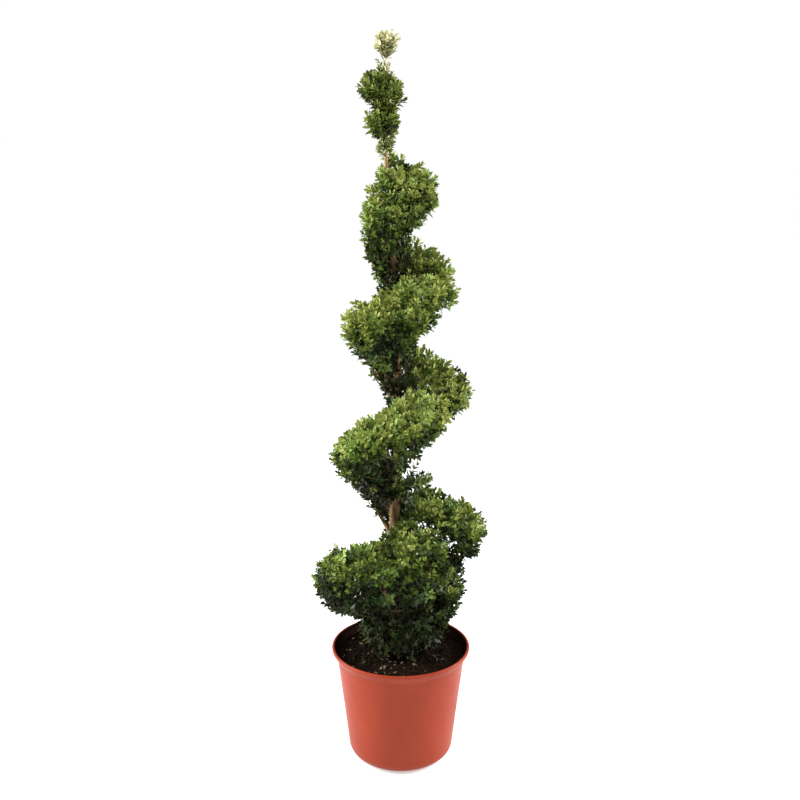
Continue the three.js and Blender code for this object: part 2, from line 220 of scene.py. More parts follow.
TRUNK_SIDES = 36
TRUNK_RINGS = 420
TRUNK_SMOOTHING = 15  # rings over which the trunk's faceted course is rounded
BOUGH_SIDES = 14
BOUGH_RINGS = 40
RELIEF = 0.085  # depth of the bark's furrows, as a part of the radius
FURROW_SIZE = 0.011
PLATE_SIZE = 0.017
GRAIN_SIZE = 0.0035
FURROW_STRETCH = 0.2  # below 1 the pattern is drawn out along the stem
PLATE_STRETCH = 0.55
KNOTS = 34
KNOT_WIDTH = (0.004, 0.008)
KNOT_RISE = (0.12, 0.3)  # as a part of the radius
NECK = (1.207, 1.243)  # heights of the bare neck under the leader's foliage
LEADER_THINNING = 0.28  # how much thinner the young leader is than its CAD solid
THINNING_FROM = NECK[0] - 0.06
THINNING_OVER = 0.08
FLARE_RIBS = 4
RIB_DEPTH = 0.14
RIB_HEIGHT = 0.040


class Stem:
    """The trunk's course and girth, taken from the level rings of its CAD solid."""

    def __init__(self):
        vertices, _ = node_arrays("trunk")
        vertices = vertices[np.argsort(vertices[:, 2])]
        steps = np.flatnonzero(np.diff(vertices[:, 2]) > 0.001) + 1
        rings = np.split(vertices, steps)
        middles = np.array([(ring.min(0) + ring.max(0)) / 2 for ring in rings])
        spans = [np.linalg.norm((ring - middle)[:, :2], axis=1) for ring, middle in zip(rings, middles)]
        radii = np.array([span[span > span.max() / 3].mean() for span in spans])
        self.foot, self.tip = middles[0, 2], middles[-1, 2]
        self.heights = np.linspace(self.foot, self.tip, TRUNK_RINGS)
        columns = [middles[:, 0], middles[:, 1], radii]
        self.columns = [self.rounded(np.interp(self.heights, middles[:, 2], c)) for c in columns]

    @staticmethod
    def rounded(column):
        """Rounds the corners of the faceted course, with its two ends kept."""
        half = TRUNK_SMOOTHING // 2
        padded = np.pad(column, half, mode="reflect", reflect_type="odd")
        return np.convolve(padded, np.full(TRUNK_SMOOTHING, 1 / TRUNK_SMOOTHING), "valid")

    def at(self, height):
        """Middle points of the trunk at some heights."""
        height = np.asarray(height, float)
        x, y = (np.interp(height, self.heights, column) for column in self.columns[:2])
        return np.stack([x, y, height], -1)

    def radius(self, height):
        return np.interp(height, self.heights, self.columns[2])


STEM = Stem()


def from_trunk(points):
    """Level distances of points from the trunk's middle."""
    return np.linalg.norm((points - STEM.at(points[:, 2]))[:, :2], axis=1)


def outward(points):
    """Level directions from the trunk's middle to points."""
    return unit((points - STEM.at(points[:, 2])) * [1, 1, 0])


def bark_relief(points, seed):
    """Furrows and plates of bark, drawn out along the stem, as a part of its radius."""
    stretched = points * [1, 1, FURROW_STRETCH]
    furrows = 1 - 2 * np.abs(waves(stretched, seed, FURROW_SIZE))
    plates = waves(points * [1, 1, PLATE_STRETCH], seed + 1, PLATE_SIZE)
    grain = waves(stretched, seed + 2, GRAIN_SIZE)
    return RELIEF * (0.6 * furrows + 0.35 * plates + 0.25 * grain)


def trunk_mesh():
    """The whole trunk, with furrowed bark, knots and the ribs of its root flare."""
    rng = np.random.default_rng(SEED + 1)
    turn = np.arange(TRUNK_SIDES) * math.tau / TRUNK_SIDES
    middle = STEM.at(STEM.heights)
    radius = STEM.radius(STEM.heights)
    above = STEM.heights - STEM.foot
    ring = level_directions(turn)
    points = middle[:, None] + ring * radius[:, None, None]
    relief = bark_relief(points.reshape(-1, 3), SEED).reshape(TRUNK_RINGS, TRUNK_SIDES)
    ribs = RIB_DEPTH * np.exp(-above / RIB_HEIGHT)[:, None] * np.cos(FLARE_RIBS * turn)
    knots = np.zeros_like(relief)
    for _ in range(KNOTS):
        height = rng.uniform(0.02, above[-1] * 0.93)
        facing = rng.uniform(0, math.tau)
        width = rng.uniform(*KNOT_WIDTH)
        round_the_stem = (np.angle(np.exp(1j * (turn - facing))) * radius[:, None]) / width
        along = ((above - height) / (width * 1.3))[:, None]
        knots += rng.uniform(*KNOT_RISE) * np.exp(-(round_the_stem**2) - along**2)
    slender = 1 - LEADER_THINNING * np.clip((STEM.heights - THINNING_FROM) / THINNING_OVER, 0, 1)
    reach = (radius * slender)[:, None] * (1 + relief + ribs + knots)
    vertices = (middle[:, None] + ring * reach[:, :, None]).reshape(-1, 3)
    index = np.arange(TRUNK_RINGS * TRUNK_SIDES).reshape(TRUNK_RINGS, TRUNK_SIDES)
    return closed_ends(vertices, ring_quads(index), index[0][::-1], index[-1])


# ---- Boughs, limbs and branches ----------------------------------------------------------------

FOLIAGE = sorted(name for name in NODES if "foliage" in name or name == "top_tuft")
YOUNG = [name for name in FOLIAGE if "leader" in name or name == "top_tuft"]
SOIL_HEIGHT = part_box("soil")[1].z
BRANCH_POINTS = 9
BASAL_STEMS = 5  # for each of the lowest masses
BASAL_RADIUS = (0.0013, 0.0024)
BASAL_TURN = 0.5  # in radians, to each side of its mass
BASAL_FOOT = (0.014, 0.046)  # distance from the plant's axis
BASAL_DEPTH = 0.004  # under the soil's surface
BASAL_LEAN = (0.006, 0.042)  # how much further out it ends
BASAL_END = (0.07, 0.01)  # how far below or above the top of the lowest masses it may end
BASAL_WANDER = 0.010

BOUGH_REACH = 1.2  # how far a bough runs, against the distance to its mass's centre
BOUGH_ROOT_DROP = 0.006  # its root in the trunk lies lower than its CAD solid's by this
BOUGH_GIRTH = 0.42  # at its root, as a part of the trunk's
BOUGH_TIP_GIRTH = 0.32  # at its end, as a part of that at the root
BOUGH_TAPER = 0.9
BEND_PART = (0.25, 0.75)  # how far along it its CAD solid's mouth may lie
FOOT_BAND = 0.004  # its CAD solid's foot is what lies this close to the innermost point
MOUTH_FROM = 0.85  # and its mouth is what lies further from the foot than this part of its length
LOWEST_BOUGH = 0.004  # least height of a bough's root over the trunk's foot

LIMB_CLIMB = (0.55, 1.1)  # how much a limb climbs for each metre that it goes out
LIMB_BEND = (0.62, 0.62, 0.36)  # a limb goes out first and then turns up
LIMB_WANDER = 0.05
LIMB_ROOTS = (0.006, 0.02)  # least distance of a limb's root from the trunk's foot and from its tip
LIMB_ENDS = (0.6, 0.35)  # how far out a limb ends, and how near the level of its mass's centre
LIMB_GIRTH = (0.2, 0.34)  # at its root, as parts of the trunk's
LIMB_TIP = 0.4  # girth at its end, as a part of that at its root
BRANCH_ENDS = (0.84, 0.12)
BRANCH_BEND = (0.6, 0.6, 0.35)
BRANCH_WANDER = 0.004
BRANCH_LENGTH = 0.045
BRANCH_GIRTH = 0.62  # at its root, as a part of the limb's there
BRANCH_RADIUS = (0.0009, 0.0021)
BRANCH_TIP = 0.55  # girth at its end, as a part of that at its root
LEAST_RISE = 0.25  # what climbs less than this for its length costs more
LOW_COST = 1.1  # cost of too little climb
INWARD_COST = 1.5  # cost of a foot that isn't far enough in
LEAST_INSET = 0.4  # how much further in than its tip a foot lies, as a part of the distance sought


class Mass:
    """One foliage solid of the frame: its surface, its top and its centre."""

    def __init__(self, name):
        self.name = name
        self.vertices, self.triangles = node_arrays(name)
        corners = self.vertices[self.triangles]
        cross = np.cross(corners[:, 1] - corners[:, 0], corners[:, 2] - corners[:, 0])
        self.area = np.linalg.norm(cross, axis=1) / 2
        self.normals = unit(cross)
        self.top = self.vertices[:, 2].max()
        self.centre = np.average(corners.mean(1), axis=0, weights=self.area)

    def sample(self, count, rng):
        """Random points on the surface, with the normals there."""
        chosen = rng.choice(len(self.area), count, p=self.area / self.area.sum())
        weights = rng.dirichlet([1, 1, 1], count)
        points = np.einsum("nc,ncd->nd", weights, self.vertices[self.triangles[chosen]])
        return points, self.normals[chosen]


MASSES = {name: Mass(name) for name in FOLIAGE}


def all_foliage_tree():
    """One search tree over all the foliage solids."""
    vertices, triangles, count = [], [], 0
    for mass in MASSES.values():
        vertices.append(mass.vertices)
        triangles.append(mass.triangles + count)
        count += len(mass.vertices)
    return BVHTree.FromPolygons(np.vstack(vertices).tolist(), np.vstack(triangles).tolist())


FOLIAGE_TREE = all_foliage_tree()


def bough_paths():
    """Each bough runs from the trunk through its CAD solid and on into its mass, where it forks."""
    starts, bends, ends, radii = [], [], [], []
    for name in sorted(node for node in NODES if "bough" in node):
        vertices, _ = node_arrays(name)
        mass = MASSES[name.replace("bough", "foliage")]
        off_axis = from_trunk(vertices)
        foot = vertices[off_axis < off_axis.min() + FOOT_BAND].mean(0)
        away = np.linalg.norm(vertices - foot, axis=1)
        mouth = vertices[away > MOUTH_FROM * away.max()].mean(0)
        axis = STEM.at(mass.centre[2])
        core = axis + (mass.centre - axis) * BOUGH_REACH
        start = STEM.at(max(foot[2] - BOUGH_ROOT_DROP, STEM.foot + LOWEST_BOUGH))
        inside, beyond = np.linalg.norm(mouth - start), np.linalg.norm(core - mouth)
        part = np.clip(inside / (inside + beyond), *BEND_PART)
        bend = (mouth - (1 - part) ** 2 * start - part**2 * core) / (2 * part * (1 - part))
        starts.append(start)
        bends.append(bend)
        ends.append(core)
        radii.append(STEM.radius(start[2]) * BOUGH_GIRTH)
    paths = bezier(np.array(starts), np.array(bends), np.array(ends), BOUGH_RINGS)
    taper = np.linspace(1, BOUGH_TIP_GIRTH, BOUGH_RINGS) ** BOUGH_TAPER
    return paths, np.array(radii)[:, None] * taper


def bough_mesh():
    """The boughs as one piece with bark relief."""
    paths, radii = BOUGHS
    vertices, quads = tubes(paths, radii, BOUGH_SIDES)
    axes = np.repeat(paths.reshape(-1, 3), BOUGH_SIDES, 0)
    relief = bark_relief(vertices, SEED + 7)
    return axes + (vertices - axes) * (1 + relief[:, None]), quads


BOUGHS = bough_paths()


def climb_from_trunk(targets, rng, climb):
    """Curves from the trunk up and out to targets."""
    level = from_trunk(targets)
    roots = targets[:, 2] - level * rng.uniform(*climb, len(targets))
    roots = np.clip(roots, STEM.foot + LIMB_ROOTS[0], STEM.tip - LIMB_ROOTS[1])
    start = STEM.at(roots)
    bend = start + (targets - start) * LIMB_BEND
    bend = bend + rng.normal(0, LIMB_WANDER, bend.shape) * level[:, None]
    return start, bend, targets


def attach(targets, nodes, node_radii, stretch):
    """For each target, the node that it grows from: near, and rather lower and further in."""
    offset = targets[:, None] - nodes[None]
    distance = np.linalg.norm(offset, axis=2)
    above = np.maximum(LEAST_RISE * distance - offset[:, :, 2], 0)
    inner, outer = from_trunk(nodes), from_trunk(targets)
    inward = np.maximum(inner[None] - outer[:, None] + stretch * LEAST_INSET, 0)
    cost = np.abs(distance - stretch) + LOW_COST * above + INWARD_COST * inward
    chosen = cost.argmin(1)
    return nodes[chosen], node_radii[chosen]


def drawn_in(points, mass, out, middle):
    """Points on a mass, drawn in to a part of the way out and towards the level of its centre."""
    axis = STEM.at(np.clip(points[:, 2], STEM.foot, STEM.tip))
    return axis + (points - axis) * [out, out, 1] + (mass.centre - points) * [0, 0, middle]


def wood_in_mass(mass, rng):
    """Limbs from the trunk, and branches from the limbs, as paths with radii."""
    points, _ = mass.sample(900, rng)
    young = mass.name in YOUNG
    limbs = YOUNG_LIMBS if young else LIMBS_PER_MASS
    branches = YOUNG_BRANCHES if young else BRANCHES_PER_MASS
    inner = spread_out(drawn_in(points, mass, *LIMB_ENDS), limbs, rng)
    paths = [bezier(*climb_from_trunk(inner, rng, LIMB_CLIMB), BRANCH_POINTS)]
    thick = STEM.radius(paths[0][:, 0, 2]) * rng.uniform(*LIMB_GIRTH, limbs)
    radii = [np.maximum(thick[:, None] * np.linspace(1, LIMB_TIP, BRANCH_POINTS), BRANCH_RADIUS[0])]
    nodes = paths[0][:, 3:].reshape(-1, 3)
    node_radii = radii[0][:, 3:].ravel()
    number = bough_index(mass.name)
    if number is not None:
        nodes = np.vstack([nodes, BOUGHS[0][number, 12::3]])
        node_radii = np.concatenate([node_radii, BOUGHS[1][number, 12::3]])
    outer = spread_out(drawn_in(points, mass, *BRANCH_ENDS), branches, rng)
    start, start_radius = attach(outer, nodes, node_radii, BRANCH_LENGTH)
    bend = start + (outer - start) * BRANCH_BEND + rng.normal(0, BRANCH_WANDER, start.shape)
    paths.append(bezier(start, bend, outer, BRANCH_POINTS))
    base = np.clip(start_radius * BRANCH_GIRTH, *BRANCH_RADIUS)
    radii.append(base[:, None] * np.linspace(1, BRANCH_TIP, BRANCH_POINTS))
    return np.vstack(paths), np.vstack(radii)


def basal_stems(rng):
    """Thin stems that rise from the soil round the trunk's foot into the lowest masses."""
    lowest = [mass for name, mass in MASSES.items() if name.startswith("skirt")]
    turn = np.repeat([bearing(mass) for mass in lowest], BASAL_STEMS)
    turn = turn + rng.uniform(-BASAL_TURN, BASAL_TURN, len(turn))
    count = len(turn)
    outs = level_directions(turn)
    start = outs * rng.uniform(*BASAL_FOOT, (count, 1))
    start[:, 2] = soil_level(start) - BASAL_DEPTH
    ceiling = max(mass.top for mass in lowest)
    end = start + outs * rng.uniform(*BASAL_LEAN, (count, 1))
    end[:, 2] = rng.uniform(ceiling - BASAL_END[0], ceiling + BASAL_END[1], count)
    bend = (start + end) / 2 + rng.normal(0, BASAL_WANDER, start.shape)
    radii = rng.uniform(*BASAL_RADIUS, (count, 1)) * np.linspace(1, 0.5, BRANCH_POINTS)
    return bezier(start, bend, end, BRANCH_POINTS), radii


def bearing(mass):
    """Direction from the trunk to a mass, as an angle seen from above."""
    away = mass.centre - STEM.at(mass.centre[2])
    return math.atan2(away[1], away[0])


def bough_index(name):
    """Which bough belongs to a mass, or None."""
    boughs = sorted(node for node in NODES if "bough" in node)
    own = name.replace("foliage", "bough")
    return boughs.index(own) if own in boughs else None


# ---- Shoots ------------------------------------------------------------------------------------

SEAM = 0.012  # a face this close to another mass is a hidden seam
OFF_SURFACE = 0.0004  # start of a ray that is to miss the surface it leaves
UNDER = -0.3  # a surface whose normal points down more than this is an underside
UNDERSIDE_WEIGHT = 0.5
SPARSE_FROM = 0.06  # distance from the trunk past which the undersides are sparse
TRUNK_SIDE_WEIGHT = 0.3
CANDIDATES = 9  # places tried for each shoot
SITE_SPACING = 0.86  # least distance between shoots, for an area of 1
OPEN_SPACING = {"top_tuft": 1.12}  # how much further apart the shoots of an open mass stand

# The shears leave the stems a little under the clipped surface, and deeper between the clumps.
TIP_DEPTH = (0.0, 0.009)
UNDERSIDE_DEPTH = 0.012  # most that is added on an underside
CLUMP_SIZE = 0.030  # distance between the clumps that the shoots stand in
CLUMP_DEPTH = 0.025  # how much further back the shoots between clumps end
CLUMP_GAP = 0.15  # how far the gaps run into the clumps
YOUNG_GAP = 0.4  # how deep the gaps are in the small masses of the leader, against the others
STRAYS = 0.045  # part of the shoots that have grown on since the last clipping
STRAY_GAP = 0.2  # strays keep to the clumps, where the gap is less than this
STRAY_LENGTH = 0.005
NEIGHBOUR_REACH = 0.019  # tips closer than this stand together
FEWEST_NEIGHBOURS = 3  # a tip with fewer would stand alone outside the crown, so it is left out
LONE_FROM = 0.09  # unless it is closer than this to the trunk

# A shoot's direction is a mixture: the surface's normal, out from the trunk, up, and a random part.
TOWARDS_NORMAL = 0.62
TOWARDS_OUT = 0.34
TOWARDS_UP = 0.42
UNDERSIDE_UP = 0.35
DIRECTION_NOISE = 0.36
STEEPEST_FALL = -0.12
SHOOT_STRETCH = 0.038  # distance that is sought between a tip and the branch it grows from
RISE_PART = 0.55  # part of a shoot that stands along its own direction
LONGEST_RISE = 0.034  # and the most of it that can
SHORTEST_SHOOT = 0.004
LONGEST_ARCH = 0.009  # how far outside the foliage solids a shoot's middle may arch

# Painted light and shade, which the leaf tints carry. Light by height: part of the way from the soil
# to the tip, and what it adds; low down it paints shade. The values below add painted light on
# surfaces that face up and out and on the top of each mass, and painted shade on undersides and in
# the gaps between clumps; the patches and the noise vary it at random.
LIGHT_HEIGHTS = (0.0, 0.14, 0.22, 0.34, 0.47, 0.67, 0.83, 0.90, 1.0)
LIGHT_ADDED = (-0.10, -0.23, -0.14, 0.12, 0.33, 0.34, 0.27, 0.30, 0.33)
EVEN_LIGHT = 0.30
LIGHT_ABOVE = 0.21  # on a surface that faces up
LIGHT_OUTSIDE = 0.12  # on a surface that faces out
LIGHT_IN_BAND = 0.42  # from the underside of a mass to its top
BAND_MIDDLE = 0.38  # height in a mass where that adds nothing
BAND_INSET = 0.004  # depth in a mass at which its height is taken
LIGHT_PATCHES = 0.16
PATCH_SIZE = 0.07
LIGHT_NOISE = 0.15
# Painted shade in the gaps between the clumps.
GAP_SHADE = 0.45  # how much less light the gaps have
TINT_STEPS = (0.10, 0.26, 0.37, 0.58, 0.80, 1.10)  # light that divides the tints
YOUNG_TINT = {"top_tuft": 3}  # steps by which a mass is paler than its place calls for
COOL_SIZE = 0.07  # size of the cooler patches
COOL_FROM = 0.22  # roughness past which a patch is cool

LEADER_SHOOTS = 46
LEADER_SHOOT = (0.008, 0.016)  # shortest and longest
NECK_SHOOTS = 46
NECK_SHOOT = (0.010, 0.018)
WAIST_SHOOTS = 70
WAIST_SHOOT = (0.024, 0.041)
WAIST = (1.276, 1.302)  # heights between the two lumps of the leader
WAIST_LEAF = 0.9
TRUNK_SHOOTS = 560  # places tried on the trunk for short sprays
TRUNK_SHOOT = (0.022, 0.044)
CLOTHED = (0.565, NECK[0] - 0.09)  # heights of the trunk between which they grow
SHELTER = 0.034  # distance under the foliage within which most of those sprays grow
# Fans of sprays on the trunk: height of the foot, bearing in degrees, reach, and how many.
SIDE_SPRAYS = ((0.560, -12, 0.080, 16), (0.565, -95, 0.052, 16), (1.08, -10, 0.075, 10))
FAN_LENGTH = 0.045
FAN_SPREAD = 0.35  # in radians
FAN_RISE = (0.3, 1.1)  # climb of its sprays for each metre out


def exposure(points, normals):
    """Weight of the foliage at surface points: dense outside and on top, sparse underneath."""
    facing = np.einsum("nd,nd->n", normals, outward(points))
    close = from_trunk(points) < SPARSE_FROM
    under = np.where(close, 1.0, UNDERSIDE_WEIGHT)
    weight = np.where(normals[:, 2] < UNDER, under, 1.0)
    return np.where((facing < -0.25) & close, TRUNK_SIDE_WEIGHT, weight)


def shoot_sites(mass, rng):
    """Places on a mass's surface, evenly spread, with the weight of foliage that each asks for."""
    count = int(mass.area.sum() / SHOOT_AREA * CANDIDATES)
    points, normals = mass.sample(count, rng)
    weights = exposure(points, normals)
    lone = mass.name in YOUNG
    free = np.array([lone or not seam(*site) for site in zip(points, normals)])
    tree = search_tree(points)
    spacing = SITE_SPACING * OPEN_SPACING.get(mass.name, 1) * np.sqrt(SHOOT_AREA / weights)
    kept = []
    for i in range(count):
        if free[i]:
            kept.append(i)
            for _, near, _ in tree.find_range(points[i], spacing[i]):
                free[near] = False
    return points[kept], normals[kept], weights[kept]


def seam(point, normal):
    """Whether a surface point faces another mass across a narrow gap."""
    start = Vector(point + normal * OFF_SURFACE)
    return FOLIAGE_TREE.ray_cast(start, Vector(normal), SEAM)[0] is not None


class Shoots:
    """Leafy shoots as curves (feet, bends, tips), with what their leaves need."""

    def __init__(self, feet, tips, directions, lengths, tints, young, cool, leaf_size=1.0):
        whole = np.linalg.norm(tips - feet, axis=1)
        self.feet, self.tips = feet, tips
        self.bends = tips - directions * np.minimum(whole * RISE_PART, LONGEST_RISE)[:, None]
        self.whole = np.maximum(whole, SHORTEST_SHOOT)
        self.lengths = np.minimum(lengths, self.whole * 0.96)
        self.tints = tints
        self.young, self.cool = young, cool
        self.leaf_size = leaf_size

    def at(self, t):
        """Points and tangents at parameters t (N, K) along the shoots."""
        t = t[:, :, None]
        feet, bends, tips = (part[:, None] for part in (self.feet, self.bends, self.tips))
        points = feet * (1 - t) ** 2 + bends * 2 * t * (1 - t) + tips * t**2
        tangents = (bends - feet) * (1 - t) + (tips - bends) * t
        return points, unit(tangents)


def height_in_band(points, normals):
    """How high each surface point lies between the underside and the top of the mass there."""
    parts = np.empty(len(points))
    for i, start in enumerate(points - normals * BAND_INSET):
        reaches = []
        for way in (-1, 1):
            distance = FOLIAGE_TREE.ray_cast(Vector(start), Vector((0, 0, way)))[3]
            reaches.append(distance or 0.0)
        parts[i] = reaches[0] / max(sum(reaches), 1e-6)
    return parts


def tint_of(points, normals, outs, gaps, rng):
    """The tint of each shoot, as painted light and shade: pale on top and outside, dark and bluish
    underneath and in the gaps, in patches.
    """
    facing = np.einsum("nd,nd->n", normals, outs)
    height = (points[:, 2] - SOIL_HEIGHT) / (STEM.tip - SOIL_HEIGHT)
    # light is painted light: how lit each shoot's place is taken to be, which picks its tint.
    light = EVEN_LIGHT + LIGHT_ABOVE * normals[:, 2] + LIGHT_OUTSIDE * facing
    light = light + np.interp(height, LIGHT_HEIGHTS, LIGHT_ADDED)
    light = light + LIGHT_IN_BAND * (height_in_band(points, normals) - BAND_MIDDLE)
    light = light + LIGHT_PATCHES * waves(points, SEED + 3, PATCH_SIZE)
    light = light + rng.normal(0, LIGHT_NOISE, len(points)) - GAP_SHADE * gaps
    return np.searchsorted(np.array(TINT_STEPS), light)


def grow_shoots(mass, wood, wood_radii, rng):
    """The shoots of one mass, each from the nearest fitting branch out to the clipped surface."""
    points, normals, weights = shoot_sites(mass, rng)
    count = len(points)
    outs = outward(points)
    under = normals[:, 2] < UNDER
    noise = rng.normal(0, DIRECTION_NOISE, (count, 3))
    lift = np.where(under, UNDERSIDE_UP, TOWARDS_UP)[:, None]
    directions = TOWARDS_NORMAL * normals + TOWARDS_OUT * outs + lift * UP + noise
    directions[:, 2] = np.maximum(directions[:, 2], STEEPEST_FALL)
    directions = unit(directions)
    depth = rng.uniform(*TIP_DEPTH, count)
    depth = depth + under * rng.uniform(0, UNDERSIDE_DEPTH, count)
    gaps = np.clip(CLUMP_GAP - waves(points, SEED + 4, CLUMP_SIZE), 0, 1)
    depth = depth + CLUMP_DEPTH * gaps * (YOUNG_GAP if mass.name in YOUNG else 1)
    stray = (rng.random(count) < STRAYS) & ~under & (gaps < STRAY_GAP)
    depth = np.where(stray, -rng.uniform(0, STRAY_LENGTH, count), depth)
    tips = points - normals * depth[:, None]
    lengths = rng.uniform(*SHOOT_LENGTH, count) * np.where(weights < 0.9, 0.85, 1)
    nodes = wood[:, 2:].reshape(-1, 3)
    feet, _ = attach(tips, nodes, wood_radii[:, 2:].ravel(), SHOOT_STRETCH)
    tints = tint_of(points, normals, outs, gaps, rng)
    palest = BRIGHT if mass.name.startswith("leader") else PALE
    tints = np.clip(tints + YOUNG_TINT.get(mass.name, 0), SHADE, palest)
    young = np.full(count, mass.name in YOUNG)
    patches = waves(points, SEED + 8, COOL_SIZE) + rng.normal(0, 0.2, count)
    cool = (patches > COOL_FROM) & ~young
    parts = feet, tips, directions, lengths, tints, young, cool
    in_company = (neighbours(tips) >= FEWEST_NEIGHBOURS) | (from_trunk(tips) < LONE_FROM)
    kept = (arch_outside(Shoots(*parts)) < LONGEST_ARCH) & in_company
    return Shoots(*(part[kept] for part in parts))


def neighbours(tips):
    """How many other tips stand close to each one."""
    tree = search_tree(tips)
    return np.array([len(tree.find_range(tip, NEIGHBOUR_REACH)) - 1 for tip in tips])


def arch_outside(shoots):
    """How far each shoot's outer half arches out of the foliage solids."""
    points, _ = shoots.at(np.tile([0.5, 0.7, 0.85], (len(shoots.tips), 1)))
    reaches = np.zeros(points.shape[:2])
    for i, path in enumerate(points):
        for j, point in enumerate(path):
            place, normal, _, distance = FOLIAGE_TREE.find_nearest(Vector(point))
            if (Vector(point) - place).dot(normal) > 0:
                reaches[i, j] = distance
    return reaches.max(1)


def stem_shoots(count, low, high, length, tint, leaf_size, rng, young=True, sheltered=False):
    """Sprays straight from the trunk between two heights, or only close under foliage."""
    heights = rng.uniform(low, high, count)
    turn = rng.uniform(0, math.tau, count)
    if sheltered:
        kept = rng.random(count) < shelter(heights, turn)
        heights, turn, count = heights[kept], turn[kept], int(kept.sum())
    feet = STEM.at(heights)
    outs = level_directions(turn)
    directions = unit(outs * 0.75 + UP + rng.normal(0, 0.2, feet.shape))
    lengths = rng.uniform(*length, count) + STEM.radius(heights)
    tips = feet + directions * lengths[:, None]
    tints = np.clip(rng.normal(tint, 0.8, count).round(), SHADE, PALE).astype(int)
    flags = np.full(count, young), np.full(count, False)
    return Shoots(feet, tips, directions, lengths * 0.95, tints, *flags, leaf_size)


def side_sprays(rng):
    """Fans of leafy sprays that reach out and up from one side of the trunk, below a turn."""
    fans = []
    for height, facing, reach, count in SIDE_SPRAYS:
        turn = math.radians(facing) + rng.normal(0, FAN_SPREAD, count)
        feet = STEM.at(height + rng.uniform(-0.02, 0.02, count))
        directions = unit(level_directions(turn) + UP * rng.uniform(*FAN_RISE, (count, 1)))
        tips = feet + directions * (reach * rng.uniform(0.55, 1.0, count))[:, None]
        lengths = np.full(count, FAN_LENGTH)
        # Dark to middling tints, as painted shade under the turn.
        tints = rng.integers(DARK, BRIGHT, count)
        fans.append(Shoots(feet, tips, directions, lengths, tints, *np.zeros((2, count), bool)))
    return fans


def shelter(heights, turn):
    """How likely a spray is at places on the trunk: it falls off below the foliage overhead."""
    feet = STEM.at(heights)
    beside = feet + level_directions(turn) * SHELTER
    gaps = [FOLIAGE_TREE.ray_cast(Vector(point), Vector((0, 0, 1)))[3] for point in beside]
    gaps = np.array([1.0 if gap is None else gap for gap in gaps])
    return np.exp(-((gaps / SHELTER) ** 2))


def sprays_on_the_stem(rng):
    """Sprays on the thin leader, on its neck, and on the trunk where foliage shelters it."""
    return [
        stem_shoots(LEADER_SHOOTS, NECK[1], STEM.tip, LEADER_SHOOT, FRESH_AND_LIT, SMALL_LEAF, rng),
        stem_shoots(NECK_SHOOTS, *NECK, NECK_SHOOT, FRESH_AND_LIT, SMALL_LEAF, rng),
        stem_shoots(WAIST_SHOOTS, *WAIST, WAIST_SHOOT, BRIGHT, WAIST_LEAF, rng),
        # The sprays sheltered under the foliage take dark tints, as painted shade.
        stem_shoots(TRUNK_SHOOTS, *CLOTHED, TRUNK_SHOOT, DARK, 1.0, rng, False, True),
        *side_sprays(rng),
    ]


# ---- Leaves ------------------------------------------------------------------------------------

PAIRS = 10  # most pairs of leaves on a shoot
ROSETTE_PAIRS = 1  # pairs in the young rosette at the tip
ROSETTES = 0.72  # part of the shoots that have one
# Painted shade: the leaves further down a shoot, deeper in the crown, are darker.
DARKER_FROM = (4, 7)  # past each of these pairs the leaves are a tint darker
# Values for the pair at the tip, what each pair below it adds, and the most that they reach.
SPACING_GROWTH = (0.45, 0.22, 1.0)
OPENING_GROWTH = (0.36, 0.18, 1.10)  # from the stem, in radians
SIZE_GROWTH = (0.60, 0.16, 1.0)
LEAF_UP = 0.35  # how far a leaf's face turns up to the light
SPACING_SPREAD = (0.85, 1.2)
SIZE_SPREAD = (0.82, 1.16)
WIDTH_SPREAD = (0.85, 1.15)
PAIR_NOISE = 0.18  # turn of a pair round the stem, in radians
LEAF_NOISE = 0.12  # and of each leaf of it
OPENING_NOISE = 0.16
FACE_NOISE = 0.16
LEAF_STALK = 0.0008

# Corners of one leaf: along it, across it, and out of its plane, as parts of its length and width.
LEAF_CORNERS = np.array(
    [
        [0.00, 0.00, 0.00],  # foot
        [0.27, 0.41, 0.05],
        [0.27, -0.41, 0.05],
        [0.70, 0.43, 0.02],
        [0.70, -0.43, 0.02],
        [1.00, 0.00, -0.12],  # tip
        [0.50, 0.00, -0.06],  # midrib
    ]
)
LEAF_TRIANGLES = np.array([[0, 6, 1], [0, 2, 6], [1, 6, 3], [2, 4, 6], [3, 6, 5], [6, 4, 5]])


def from_the_tip(first, added, most):
    """A value for each pair of leaves, which grows from the tip of a shoot down."""
    return np.clip(first + added * np.arange(PAIRS), 0, most)


